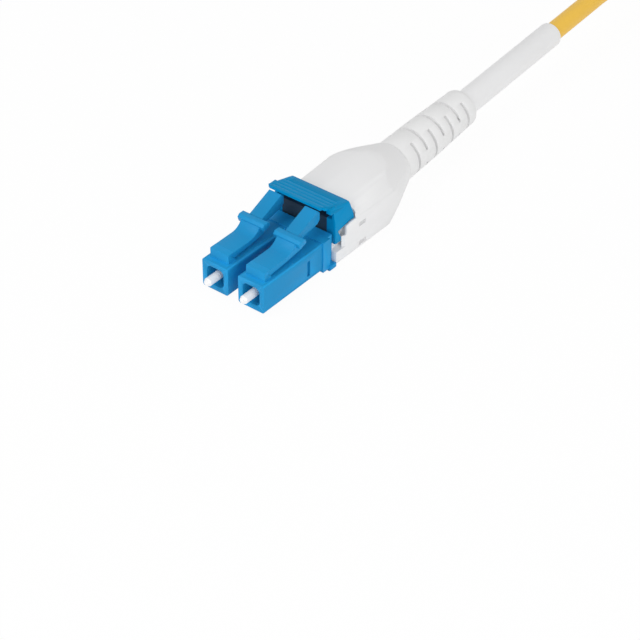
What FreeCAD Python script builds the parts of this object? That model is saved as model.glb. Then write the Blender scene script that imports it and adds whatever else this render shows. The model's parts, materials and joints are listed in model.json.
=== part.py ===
"""Duplex optical-fibre patch lead end: two square plugs with sprung ceramic ferrules,
one trigger over both latch arms, a two-shell body, a slotted boot and a round cable
that ends in the same connector.

Millimetres. Each sub-part is drawn in the connector's own directions: +Y runs from the
plug faces back along the cable, +Z is up and +X is to the right seen from behind the
trigger. Lengths along Y are counted from the plug faces and heights from the ferrule
axis. Boot, sleeve and crimp are drawn along the tilted cable axis, from the boot's root.
"""
import FreeCAD, Part
import math
import os

import Sketcher
from FreeCAD import Placement, Rotation, Vector

DIMENSIONS = {
    # plug housings
    "plug_pitch": 6.25,
    "nose_side": 4.5,
    "nose_corner": 0.4,
    "housing_length": 14.8,
    "cavity_side": 2.9,
    "cavity_corner": 0.75,
    "cavity_depth": 5.5,
    "shoulder_length": 0.8,
    "shoulder_hole": 2.0,
    "rear_bore": 3.4,
    "collar_length": 2.45,
    "collar_grow": 0.2,
    "foot_length": 1.2,
    "foot_reach": 0.35,
    "foot_height": 0.9,
    "side_slot_start": 9.1,
    "side_slot_width": 0.65,
    "side_slot_top": 1.1,
    "side_slot_low": 1.4,
    "side_slot_depth": 0.35,
    # latch arms
    "block_start": 0.95,
    "latch_width": 3.2,
    "latch_top": 3.65,
    "knuckle_start": 2.3,
    "knuckle_round": 0.5,
    "knuckle_gap": 0.04,
    "arm_bend_start": 5.6,
    "arm_bend_round": 2.3,
    "ear_start": 7.35,
    "ear_length": 1.6,
    "ear_top": 5.25,
    "ear_height": 1.15,
    "ear_width": 4.45,
    "arm_width": 2.15,
    "arm_thin": 0.75,
    "arm_rise": 1.7,
    "arm_reach": 12.8,
    "arm_tip_chamfer": 0.5,
    "arm_end_height": 1.6,
    # trigger; its lengths behind the lip are counted from the body's front face
    "lip_overlap": 0.25,
    "lip_top": 7.35,
    "lip_half_width": 4.4,
    "wing_setback": 1.05,
    "wing_round": 0.3,
    "plate_back": 3.75,
    "plate_drop": 1.5,
    "plate_thick": 0.4,
    "roll_height": 0.9,
    "trigger_half_width": 5.4,
    "cheek_thick": 0.65,
    "cheek_front": 0.3,
    "cheek_back": 4.45,
    "cheek_low": 2.9,
    "tongue_length": 1.2,
    "tongue_low": 0.65,
    "bridge_low": 2.75,
    "bridge_top": 4.5,
    "bridge_thick": 0.6,
    "recess_back": 1.8,
    "recess_wall": 0.4,
    "pivot_back": 3.6,
    "pivot_height": 3.75,
    "pivot_skin": 0.2,
    "trunnion": 0.8,
    "pivot_clearance": 0.05,
    "roll_round": 0.8,
    "grip_groove_depth": 0.06,
    "grip_groove_width": 0.22,
    "grip_groove_pitch": 0.9,
    # ferrules and their springs
    "ferrule": 1.249,
    "ferrule_reach": 1.9,
    "ferrule_wall_end": 3.2,
    "ferrule_seat": 4.6,
    "ferrule_taper": 0.08,
    "ferrule_chamfer": 0.2,
    "barrel": 1.9,
    "barrel_overlap": 0.1,
    "flange": 2.9,
    "flange_length": 1.4,
    "spring_tail": 1.7,
    "spring_tail_length": 1.2,
    "fibre_bore": 0.9,
    "spring_wire": 0.3,
    "spring_outer": 2.8,
    "spring_turns": 4.5,
    "stop_depth": 2.6,
    "stop_tail": 1.8,
    "stop_front": 3.3,
    "stop_back": 2.0,
    "stop_bore": 1.2,
    "buffer_tube": 0.9,
    "buffer_spread": 1.0,
    # two-shell body
    "body_gap": 0.1,
    "body_half_width": 5.8,
    "base_drop": 2.84,
    "body_side_top": 3.9,
    "body_ridge": 5.15,
    "body_seam": 2.9,
    "seam_gap": 0.02,
    "body_corner": 0.9,
    "body_wall": 1.0,
    "front_wall": 2.9,
    "front_top": 1.8,
    "neck_front": 2.3,
    "neck_half_width": 4.65,
    "neck_wall": 0.85,
    "neck_top": 4.3,
    "neck_back": 4.9,
    "cheek_well_low": 2.25,
    "tongue_well_back": 2.8,
    "tongue_well_low": 0.45,
    "rear_room_half_width": 3.3,
    "window_back": 5.1,
    "window_length": 1.6,
    "window_top": 1.8,
    "window_low": 2.0,
    "catch_top": 0.6,
    "catch_low": 0.9,
    "catch_thick": 0.62,
    "catch_gap": 0.05,
    "shoulder_start": 8.4,
    "shoulder_start_across": 15.8,
    "shoulder_middle": 3.8,
    "shoulder_middle_across": 10.0,
    "shoulder_late": 1.7,
    "shoulder_late_across": 8.2,
    "shoulder_end_across": 7.44,
    # boot, sleeve and crimp, along the cable axis from the boot's root
    "body_length": 20.1,
    "boot_height": 1.25,
    "cable_tilt": 3.9,
    "boot_length": 17.3,
    "boot_front": 6.9,
    "boot_middle": 6.45,
    "boot_middle_along": 8.0,
    "boot_back": 5.85,
    "boot_end_round": 0.55,
    "boot_flange": 6.1,
    "boot_flange_length": 1.2,
    "boot_neck": 5.2,
    "boot_neck_length": 2.0,
    "slot_first": 2.55,
    "slot_pitch": 4.15,
    "slot_count": 4,
    "slot_width": 0.5,
    "side_slot_sweep": 120.0,
    "top_slot_sweep": 142.0,
    "sleeve": 3.9,
    "sleeve_length": 40.8,
    "running_gap": 0.04,
    "cable": 3.0,
    "jacket_start": 3.6,
    "crimp_ring": 3.8,
    "crimp_ring_length": 3.8,
    "crimp_wall": 0.36,
    "crimp_post": 2.6,
    "crimp_post_bore": 2.05,
    "crimp_post_flange": 4.2,
    "crimp_post_flange_length": 1.2,
    "crimp_front": 9.4,
    # the cable's coil
    "coil_along": 116.0,
    "coil_across": 12.2,
    "coil_outer_turn": 16.5,
    "coil_columns": 3,
    "coil_layers": 3,
    "coil_lead": 12.0,
}

CORD_START = [(0.0, 83.0, 5.2), (4.3, 98.0, 1.5), (4.3, 104.0, 1.5)]
CORD_START_STRAIGHT = 15.83
CORD_END = [(4.3, 128.0, 10.5), (4.3, 132.0, 10.5)]
CORD_END_STRAIGHT = 8.02
FAR_SLEEVE_END = 152.0
ORIGIN_ALONG = 21.5

doc = FreeCAD.newDocument("duplex_fibre_connector")
sheet = doc.addObject("Spreadsheet::Sheet", "Dimensions")
for row, (alias, number) in enumerate(DIMENSIONS.items(), start=1):
    sheet.set(f"A{row}", alias)
    sheet.set(f"B{row}", str(number))
    sheet.setAlias(f"B{row}", alias)
doc.recompute()


class Size:
    """A length that knows its number and the sheet expression that it comes from."""

    def __init__(self, number, text):
        self.number = number
        self.text = text

    def join(self, other, sign, result):
        return Size(result, f"({self.text} {sign} {size(other).text})")

    def __add__(self, other):
        return self.join(other, "+", self.number + size(other).number)

    def __radd__(self, other):
        return size(other) + self

    def __sub__(self, other):
        return self.join(other, "-", self.number - size(other).number)

    def __rsub__(self, other):
        return size(other) - self

    def __mul__(self, other):
        return self.join(other, "*", self.number * size(other).number)

    def __rmul__(self, other):
        return size(other) * self

    def __truediv__(self, other):
        return self.join(other, "/", self.number / size(other).number)

    def __neg__(self):
        return Size(-self.number, f"(-1 * {self.text})")


def size(value):
    return value if isinstance(value, Size) else Size(float(value), repr(float(value)))


class Dimensions:
    """Reads a driving dimension from the sheet by its name."""

    def __getattr__(self, alias):
        return Size(float(sheet.get(alias)), f"{sheet.Name}.{alias}")


d = Dimensions()

BODY_START = d.housing_length + d.body_gap
BOOT_START = BODY_START + d.body_length
WINDOW_START = BODY_START + d.window_back
PIVOT_ALONG = BODY_START + d.pivot_back
STOP_START = d.housing_length - d.stop_depth
SEAT_START = d.cavity_depth + d.shoulder_length

# ---------------------------------------------------------------- drawing helpers

SIDE, FRONT, PLAN = "YZ_Plane", "XZ_Plane", "XY_Plane"


class Arc:
    """An outline's corner point whose next edge is an arc of the given radius."""

    def __init__(self, x, y, radius, inward=False):
        self.point = (x, y)
        self.radius = size(radius)
        self.inward = inward


def new_body(label):
    body = doc.addObject("PartDesign::Body", label)
    body.Label = label
    return body


def new_sketch(body, role, offset=0.0, tilted=False):
    """A sketch on one of the body's own planes, moved along its normal by offset."""
    sketch = body.newObject("Sketcher::SketchObject", body.Label + "_sketch")
    planes = [f for f in body.Origin.OriginFeatures if f.Role == role]
    sketch.AttachmentSupport = [(planes[0], "")]
    sketch.MapMode = "FlatFace"
    if tilted:
        sketch.AttachmentOffset = Placement(Vector(), Rotation(Vector(0, 0, 1), d.cable_tilt.number))
        sketch.setExpression("AttachmentOffset.Rotation.Angle", d.cable_tilt.text)
        sketch.setExpression("AttachmentOffset.Base.x", BOOT_START.text)
        sketch.setExpression("AttachmentOffset.Base.y", d.boot_height.text)
    sketch.setExpression("AttachmentOffset.Base.z", size(offset).text)
    return sketch


def bind(sketch, kind, *target, value):
    index = sketch.addConstraint(Sketcher.Constraint(kind, *target, value.number))
    sketch.setExpression(f"Constraints[{index}]", value.text)


def arc_between(start, end, radius, inward):
    """Arc from start to end with its centre on the outline's inner or outer side."""
    middle = (start + end) * 0.5
    chord = end - start
    side = Vector(-chord.y, chord.x, 0).normalize()
    depth = math.sqrt(max(radius**2 - (chord.Length / 2) ** 2, 1e-9))
    centre = middle + side * (-depth if inward else depth)
    first, last = (end, start) if inward else (start, end)
    angles = [math.atan2(p.y - centre.y, p.x - centre.x) for p in (first, last)]
    circle = Part.Circle(centre, Vector(0, 0, 1), radius)
    return Part.ArcOfCircle(circle, angles[0], angles[1])


def outline(sketch, corners):
    """Closed outline, drawn anticlockwise, with both coordinates of each corner bound."""
    corners = [c if isinstance(c, Arc) else (size(c[0]), size(c[1])) for c in corners]
    spots = []
    for corner in corners:
        x, y = corner.point if isinstance(corner, Arc) else corner
        spots.append((size(x), size(y)))
    vectors = [Vector(x.number, y.number, 0) for x, y in spots]
    first = sketch.GeometryCount
    ends = []
    for i, corner in enumerate(corners):
        start, end = vectors[i], vectors[(i + 1) % len(vectors)]
        if isinstance(corner, Arc):
            sketch.addGeometry(arc_between(start, end, corner.radius.number, corner.inward))
            ends.append((2, 1) if corner.inward else (1, 2))
        else:
            sketch.addGeometry(Part.LineSegment(start, end))
            ends.append((1, 2))
    count = len(corners)
    for i in range(count):
        following = (i + 1) % count
        sketch.addConstraint(
            Sketcher.Constraint("Coincident", first + i, ends[i][1], first + following, ends[following][0])
        )
    for i, (x, y) in enumerate(spots):
        bind(sketch, "DistanceX", -1, 1, first + i, ends[i][0], value=x)
        bind(sketch, "DistanceY", -1, 1, first + i, ends[i][0], value=y)
        if isinstance(corners[i], Arc):
            bind(sketch, "Radius", first + i, value=corners[i].radius)
    return sketch


def rectangle(sketch, low_x, high_x, low_y, high_y):
    return outline(sketch, [(low_x, low_y), (high_x, low_y), (high_x, high_y), (low_x, high_y)])


def circle(sketch, x, y, diameter):
    x, y, radius = size(x), size(y), size(diameter) / 2
    index = sketch.addGeometry(Part.Circle(Vector(x.number, y.number, 0), Vector(0, 0, 1), radius.number))
    bind(sketch, "DistanceX", -1, 1, index, 3, value=x)
    bind(sketch, "DistanceY", -1, 1, index, 3, value=y)
    bind(sketch, "Radius", index, value=radius)
    return sketch


def pad(body, sketch, length, reverse=False, both=False):
    feature = body.newObject("PartDesign::Pad", body.Label + "_pad")
    feature.Profile = sketch
    feature.setExpression("Length", size(length).text)
    feature.Reversed = reverse
    feature.Midplane = both
    return feature


def pocket(body, sketch, length, reverse=False, both=False):
    """A cut that must take material away."""
    doc.recompute()
    before = body.Shape.Volume
    feature = body.newObject("PartDesign::Pocket", body.Label + "_pocket")
    feature.Profile = sketch
    feature.setExpression("Length", size(length).text)
    feature.Reversed = reverse
    feature.Midplane = both
    doc.recompute()
    if body.Shape.Volume >= before:
        raise RuntimeError(f"a pocket of {body.Label} cuts nothing")
    return feature


def turn(body, sketch, kind="PartDesign::Revolution", sweep=360.0, axis="H_Axis"):
    feature = body.newObject(kind, body.Label + "_turned")
    feature.Profile = sketch
    feature.ReferenceAxis = (sketch, [axis])
    feature.setExpression("Angle", size(sweep).text)
    feature.Midplane = True
    return feature


def dress(body, kind, picked, amount):
    """Fillet or Chamfer on the edges that picked accepts."""
    doc.recompute()
    tip = body.Tip
    edges = [f"Edge{i}" for i, edge in enumerate(tip.Shape.Edges, start=1) if picked(edge)]
    if not edges:
        raise RuntimeError(f"no edge of {body.Label} to dress")
    feature = body.newObject("PartDesign::" + kind, body.Label + "_edges")
    feature.Base = (tip, edges)
    feature.setExpression("Radius" if kind == "Fillet" else "Size", size(amount).text)
    return feature


def near(value, target, slack=0.01):
    return abs(value - size(target).number) < slack


def runs_along(edge, axis):
    """Whether a straight edge is parallel to the axis, given as 0, 1 or 2."""
    if not isinstance(edge.Curve, (Part.Line, Part.LineSegment)):
        return False
    step = edge.Vertexes[-1].Point - edge.Vertexes[0].Point
    return abs(abs(step[axis]) - step.Length) < 1e-6


def turned_piece(label, profile):
    """A piece turned about its own Y axis, from corners given as (along Y, radius)."""
    body = new_body(label)
    turn(body, outline(new_sketch(body, SIDE), profile))
    return body


def bent_path(points):
    """Straight runs that meet at sharp corners."""
    return Part.makePolygon(points), []


def rounded_path(points):
    """Straight runs joined by tangent arcs, each as large as its two runs allow."""
    edges, radii = [], []
    start = points[0]
    for before, corner, after in zip(points, points[1:], points[2:]):
        arriving = (corner - before).normalize()
        leaving = (after - corner).normalize()
        turned = arriving.getAngle(leaving)
        reach = 0.45 * min((corner - before).Length, (after - corner).Length)
        radius = reach / math.tan(turned / 2)
        inside = (leaving - arriving).normalize()
        middle = corner + inside * (radius / math.cos(turned / 2) - radius)
        edges.append(Part.LineSegment(start, corner - arriving * reach).toShape())
        arc = Part.Arc(corner - arriving * reach, middle, corner + leaving * reach)
        edges.append(arc.toShape())
        radii.append(radius)
        start = corner + leaving * reach
    edges.append(Part.LineSegment(start, points[-1]).toShape())
    return Part.Wire(edges), radii


def tube_solid(label, points, diameter, shaped=rounded_path):
    """A round solid along a path; its volume has to be its section times its length."""
    path, radii = shaped(points)
    start = points[0]
    ring = Part.Wire([Part.Circle(start, points[1] - start, diameter / 2).toShape()])
    solid = path.makePipeShell([ring], True, False, 0 if radii else 1)
    expected = math.pi * diameter**2 / 4 * path.Length
    if abs(solid.Volume - expected) > 0.01 * expected:
        raise RuntimeError(f"{label}: volume {solid.Volume:.1f}, expected {expected:.1f}")
    print(label, "length", round(path.Length, 1), "radii", [round(r, 1) for r in radii])
    return solid


def plain_feature(label, shape):
    feature = doc.addObject("Part::Feature", label)
    feature.Label = label
    feature.Shape = shape
    return feature


# ---------------------------------------------------------------- sub-parts


def make_housing(label, side):
    """One square plug housing with the block that its latch arm springs from."""
    body = new_body(label)
    half = d.nose_side / 2
    pad(body, rectangle(new_sketch(body, FRONT), -half, half, -half, half), d.housing_length, reverse=True)
    dress(body, "Fillet", lambda e: runs_along(e, 1), d.nose_corner)

    collar = half + d.collar_grow
    sketch = new_sketch(body, FRONT, d.collar_length - d.housing_length)
    rectangle(sketch, -collar, collar, -collar, collar)
    pad(body, sketch, d.collar_length, reverse=True)
    foot_start = d.housing_length - d.foot_length
    outer = collar + d.foot_reach
    sketch = new_sketch(body, FRONT, -foot_start)
    low, high = (-collar, outer) if side > 0 else (-outer, collar)
    rectangle(sketch, low, high, -d.base_drop, d.foot_height - d.base_drop)
    pad(body, sketch, d.foot_length, reverse=True)
    dress(body, "Fillet", lambda e: runs_along(e, 1) and near(e.BoundBox.ZMin, -d.base_drop), d.nose_corner)

    sketch = new_sketch(body, SIDE)
    rectangle(sketch, d.block_start, d.knuckle_start, half - d.nose_corner, d.latch_top)
    pad(body, sketch, d.latch_width, both=True)
    knuckle_height = d.latch_top - d.knuckle_round
    sketch = new_sketch(body, SIDE)
    circle(sketch, d.knuckle_start, knuckle_height, (d.knuckle_round + d.knuckle_gap) * 2)
    pocket(body, sketch, d.nose_side, both=True)

    inner = d.cavity_side / 2
    pocket(body, rectangle(new_sketch(body, FRONT), -inner, inner, -inner, inner), d.cavity_depth)
    dress(
        body,
        "Fillet",
        lambda e: runs_along(e, 1) and near(abs(e.BoundBox.XMin), inner) and near(abs(e.BoundBox.ZMin), inner),
        d.cavity_corner,
    )
    sketch = circle(new_sketch(body, FRONT, -d.cavity_depth), 0, 0, d.shoulder_hole)
    pocket(body, sketch, d.housing_length - d.cavity_depth)
    sketch = circle(new_sketch(body, FRONT, -SEAT_START), 0, 0, d.rear_bore)
    pocket(body, sketch, d.housing_length - SEAT_START)

    for face in (-1, 1):
        floor = face * (half - d.side_slot_depth)
        sketch = new_sketch(body, SIDE, floor)
        end = d.side_slot_start + d.side_slot_width
        rectangle(sketch, d.side_slot_start, end, -d.side_slot_low, d.side_slot_top)
        pocket(body, sketch, d.side_slot_depth, reverse=face > 0)
    return body


def make_latch(label):
    """The springing arm: a rounded root, a broad curved blade, two ears and a wedge tip."""
    body = new_body(label)
    blade_top = d.latch_top
    blade_low = d.latch_top - d.knuckle_round * 2
    bend_end = d.ear_start
    ear_low = d.ear_top - d.ear_height
    ear_back = d.ear_start + d.ear_length
    blade = [
        (d.knuckle_start, blade_low),
        (d.arm_bend_start, blade_low + d.knuckle_round / 2),
        (ear_back, ear_low - d.arm_thin),
        (ear_back, d.ear_top - d.arm_thin / 2),
        (bend_end + d.ear_length / 3, d.ear_top - d.arm_thin / 4),
        Arc(bend_end, d.ear_top - d.ear_height / 2, d.arm_bend_round, inward=True),
        (d.arm_bend_start, blade_top),
        Arc(d.knuckle_start, blade_top, d.knuckle_round),
    ]
    pad(body, outline(new_sketch(body, SIDE), blade), d.latch_width, both=True)
    ears = [
        (d.ear_start + d.arm_thin / 3, ear_low),
        (ear_back, ear_low + d.arm_thin / 3),
        (ear_back, d.ear_top - d.arm_thin / 2),
        (ear_back - d.arm_thin / 2, d.ear_top),
        (d.ear_start + d.arm_thin / 2, d.ear_top),
        (d.ear_start, d.ear_top - d.arm_thin / 2),
    ]
    pad(body, outline(new_sketch(body, SIDE), ears), d.ear_width, both=True)
    tip_top = d.ear_top + d.arm_rise
    tip_low = tip_top - d.arm_end_height - d.arm_tip_chamfer
    arm_end = d.arm_reach + d.arm_tip_chamfer
    wedge_low = d.ear_top - d.arm_thin / 2
    wedge = [
        (d.ear_start + d.ear_length / 2, wedge_low - d.arm_thin),
        (d.arm_reach, tip_low),
        (arm_end, tip_low + d.arm_tip_chamfer),
        (arm_end, tip_top - d.arm_tip_chamfer),
        (d.arm_reach, tip_top),
        (d.ear_start + d.ear_length / 2, d.ear_top - d.arm_thin / 4),
    ]
    pad(body, outline(new_sketch(body, SIDE), wedge), d.arm_width, both=True)
    return body


def make_trigger(label):
    """A sloping plate with winged ends over two pivoting cheeks, bridged by a recess."""
    body = new_body(label)
    lip = d.arm_reach + d.lip_overlap
    plate_back = BODY_START + d.plate_back
    slope = d.plate_drop / (plate_back - lip)
    cheek_front = BODY_START + d.cheek_front
    cheek_back = BODY_START + d.cheek_back
    tongue_back = cheek_front + d.tongue_length
    outer = [
        (lip, d.lip_top - d.roll_height),
        (cheek_front, d.lip_top - d.roll_height - slope * (cheek_front - lip)),
        (cheek_front, d.tongue_low),
        (tongue_back, d.tongue_low),
        (tongue_back, d.cheek_low),
        (cheek_back, d.cheek_low),
        (plate_back, d.lip_top - d.plate_drop),
        (lip, d.lip_top),
    ]
    pad(body, outline(new_sketch(body, SIDE), outer), d.trigger_half_width * 2, both=True)
    dress(
        body,
        "Fillet",
        lambda e: near(abs(e.CenterOfMass.x), d.trigger_half_width)
        and near(e.CenterOfMass.z, d.lip_top - d.plate_drop / 2)
        and near(e.CenterOfMass.y, (lip + plate_back) / 2),
        d.roll_round,
    )
    under = d.lip_top - d.plate_thick
    clear = d.roll_height
    inner_half = d.trigger_half_width - d.cheek_thick
    inner = [
        (lip - clear, d.tongue_low - clear),
        (cheek_back + clear, d.tongue_low - clear),
        (cheek_back + clear, under - slope * (cheek_back + clear - lip)),
        (lip - clear, under + slope * clear),
    ]
    pocket(body, outline(new_sketch(body, SIDE), inner), inner_half * 2, both=True)

    recess_back = cheek_front + d.recess_back
    above = d.lip_top - slope * (recess_back - lip) - d.plate_thick / 2
    bridge = [
        (cheek_front, d.bridge_low),
        (cheek_front + d.bridge_thick, d.bridge_low),
        (cheek_front + d.bridge_thick, d.bridge_top - d.recess_wall),
        (recess_back, d.bridge_top - d.recess_wall),
        (recess_back, above),
        (recess_back - d.recess_wall, above),
        (recess_back - d.recess_wall, d.bridge_top),
        (cheek_front, d.bridge_top),
    ]
    sketch = outline(new_sketch(body, SIDE), bridge)
    pad(body, sketch, (inner_half + d.cheek_thick / 2) * 2, both=True)

    beyond = d.trigger_half_width * 2
    wing = lip + d.wing_setback
    for side in (-1, 1):
        edge = side * d.lip_half_width
        turn_in = edge + side * d.wing_round
        corner = [
            (edge, lip - clear),
            (side * beyond, lip - clear),
            (side * beyond, wing),
            Arc(turn_in, wing, d.wing_round),
            (edge, wing - d.wing_round),
        ]
        if side < 0:
            corner = [(edge, lip - clear), Arc(edge, wing - d.wing_round, d.wing_round)]
            corner += [(turn_in, wing), (-beyond, wing), (-beyond, lip - clear)]
        pocket(body, outline(new_sketch(body, PLAN), corner), beyond * 2, both=True)
        hole = new_sketch(body, SIDE, side * (inner_half - d.pivot_clearance))
        circle(hole, PIVOT_ALONG, d.pivot_height, d.trunnion + d.pivot_clearance * 2)
        depth = d.cheek_thick + d.pivot_clearance - d.pivot_skin
        pocket(body, hole, depth, reverse=side > 0)

    sketch = new_sketch(body, SIDE)
    for number in range(4):
        along = d.grip_groove_pitch * (number + 1)
        end = along + d.grip_groove_width
        floor = d.lip_top - d.grip_groove_depth
        cut = [
            (lip + along, floor - slope * along),
            (lip + end, floor - slope * end),
            (lip + end, d.lip_top - slope * along),
            (lip + along, d.lip_top - slope * along),
        ]
        outline(sketch, cut)
    pocket(body, sketch, (d.trigger_half_width - d.roll_round) * 2, both=True)
    return body


def make_ferrule(label):
    """The ceramic ferrule: a ground pin with a tapered tip and a domed face."""
    radius = d.ferrule / 2
    tip = -d.ferrule_reach
    return turned_piece(
        label,
        [
            (tip, 0),
            (d.ferrule_seat, 0),
            (d.ferrule_seat, radius - d.ferrule_taper),
            (d.ferrule_wall_end, radius),
            (tip + d.ferrule_chamfer * 2, radius),
            (tip + d.ferrule_chamfer / 4, radius - d.ferrule_chamfer),
        ],
    )


def make_ferrule_flange(label):
    """The metal seat pressed on the ferrule: barrel, six-sided stop and spring tail."""
    bore = d.ferrule / 2
    stop_back = SEAT_START + d.flange_length
    tail_back = stop_back + d.spring_tail_length
    barrel_front = d.ferrule_wall_end - d.barrel_overlap
    body = turned_piece(
        label,
        [
            (barrel_front, bore),
            (d.ferrule_wall_end, bore),
            (d.ferrule_seat, bore - d.ferrule_taper),
            (d.ferrule_seat, d.fibre_bore / 2),
            (tail_back, d.fibre_bore / 2),
            (tail_back, d.spring_tail / 2),
            (stop_back, d.spring_tail / 2),
            (stop_back, d.barrel / 2),
            (barrel_front, d.barrel / 2),
        ],
    )
    corner = d.flange / 2
    turns = [math.radians(60 * step) for step in range(6)]
    sketch = new_sketch(body, FRONT, -SEAT_START)
    outline(sketch, [(corner * math.cos(a), corner * math.sin(a)) for a in turns])
    circle(sketch, 0, 0, d.fibre_bore)
    pad(body, sketch, d.flange_length, reverse=True)
    return body


def make_spring(label):
    """The ferrule's compression spring; wire and coil are drawn many-sided to stay light."""
    start = (SEAT_START + d.flange_length).number
    wire = d.spring_wire.number / 2
    mean = d.spring_outer.number / 2 - wire
    length = STOP_START.number - start - 3 * wire
    sides = 10
    steps = round(d.spring_turns.number * sides)
    path = []
    for step in range(steps + 1):
        turned = 2 * math.pi * step / sides
        along = start + 1.5 * wire + length * step / steps
        path.append(Vector(mean * math.cos(turned), along, mean * math.sin(turned)))
    corners = [math.radians(90 * k) for k in range(4)]
    ring = [path[0] + Vector(wire * math.cos(a), wire * math.sin(a), 0) for a in corners]
    solid = Part.makePolygon(path).makePipeShell([Part.makePolygon(ring + ring[:1])], True, False, 1)
    return plain_feature(label, solid)


def make_spring_stop(label):
    """The stepped tube that closes the housing's bore and carries the spring."""
    gap = d.running_gap
    tail_back = d.housing_length + d.stop_tail
    return turned_piece(
        label,
        [
            (STOP_START, d.stop_bore / 2),
            (tail_back, d.stop_bore / 2),
            (tail_back, d.stop_back / 2 - gap),
            (d.housing_length, d.stop_back / 2 - gap),
            (d.housing_length, d.stop_front / 2),
            (STOP_START, d.stop_front / 2),
        ],
    )


def make_buffer_tube(label, side):
    """The thin tube that carries one fibre from its spring stop to the crimp."""
    tilt = math.radians(d.cable_tilt.number)
    def on_axis(back_from_root):
        along = BOOT_START.number - back_from_root * math.cos(tilt)
        height = d.boot_height.number - back_from_root * math.sin(tilt)
        return Vector(side * d.buffer_spread.number / 2, along, height)

    plug = side * d.plug_pitch.number / 2
    points = [
        Vector(plug, STOP_START.number, 0),
        Vector(plug, BODY_START.number + d.front_wall.number + d.buffer_tube.number, 0),
        on_axis(d.crimp_front.number + d.crimp_post_flange_length.number),
        on_axis(d.jacket_start.number + d.running_gap.number),
    ]
    return plain_feature(label, tube_solid(label, points, d.buffer_tube.number, bent_path))


def body_blank(body):
    """The outer form shared by both shells: a gabled block that rounds off to the boot."""
    wide = d.body_half_width
    section = [
        (-wide, -d.base_drop),
        (wide, -d.base_drop),
        (wide, d.body_side_top),
        (0, d.body_ridge),
        (-wide, d.body_side_top),
    ]
    sketch = outline(new_sketch(body, FRONT, -BODY_START), section)
    pad(body, sketch, d.body_length + d.body_wall, reverse=True)
    dress(
        body,
        "Fillet",
        lambda e: runs_along(e, 1) and near(abs(e.CenterOfMass.x), wide),
        d.body_corner,
    )
    beyond = d.shoulder_start_across
    past = d.body_wall * 3
    sketch = new_sketch(body, SIDE, tilted=True)
    round_off = [
        (-d.shoulder_start, d.shoulder_start_across / 2),
        (-d.shoulder_middle, d.shoulder_middle_across / 2),
        (-d.shoulder_late, d.shoulder_late_across / 2),
        (-d.running_gap, d.shoulder_end_across / 2),
        (-d.running_gap, 0),
        (past, 0),
        (past, beyond),
        (-d.shoulder_start, beyond),
    ]
    outline(sketch, round_off)
    turn(body, sketch, "PartDesign::Groove")
    doc.recompute()


def cut_wells(body):
    """Room at the front for the trigger's cheeks, guide tongues and bridge."""
    beyond = d.body_half_width * 2
    front = BODY_START - d.body_wall
    tongue_back = BODY_START + d.tongue_well_back
    neck_back = BODY_START + d.neck_back
    for face in (-1, 1):
        inside = face * d.neck_half_width
        sketch = new_sketch(body, SIDE, inside)
        well = [
            (front, -d.tongue_well_low),
            (tongue_back, -d.tongue_well_low),
            (tongue_back, d.cheek_well_low),
            (neck_back, d.cheek_well_low),
            (neck_back, beyond),
            (front, beyond),
        ]
        pocket(body, outline(sketch, well), d.body_half_width, reverse=face > 0)
    sketch = new_sketch(body, SIDE)
    rectangle(sketch, front, BODY_START + d.neck_front, d.front_top, beyond)
    pocket(body, sketch, beyond, both=True)


def cut_boot_seat(body):
    """The stepped opening that holds the boot's collar between the shells."""
    gap = d.running_gap
    front = d.boot_neck_length + d.boot_flange_length
    sketch = new_sketch(body, SIDE, tilted=True)
    seat = [
        (-front - d.body_wall - gap, 0),
        (d.body_wall, 0),
        (d.body_wall, d.boot_neck / 2 + gap),
        (-d.boot_neck_length + gap, d.boot_neck / 2 + gap),
        (-d.boot_neck_length + gap, d.boot_flange / 2 + gap),
        (-front - d.body_wall - gap, d.boot_flange / 2 + gap),
    ]
    turn(body, outline(sketch, seat), "PartDesign::Groove")
    doc.recompute()


def cut_above(body, height, low_y, high_y):
    """Takes away everything over a height, between two places along the body."""
    beyond = d.body_half_width * 2
    sketch = new_sketch(body, PLAN, height)
    rectangle(sketch, -beyond, beyond, low_y, high_y)
    pocket(body, sketch, beyond, reverse=True)


def rear_room_back():
    return BOOT_START - d.boot_neck_length - d.boot_flange_length - d.body_wall / 2


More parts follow.
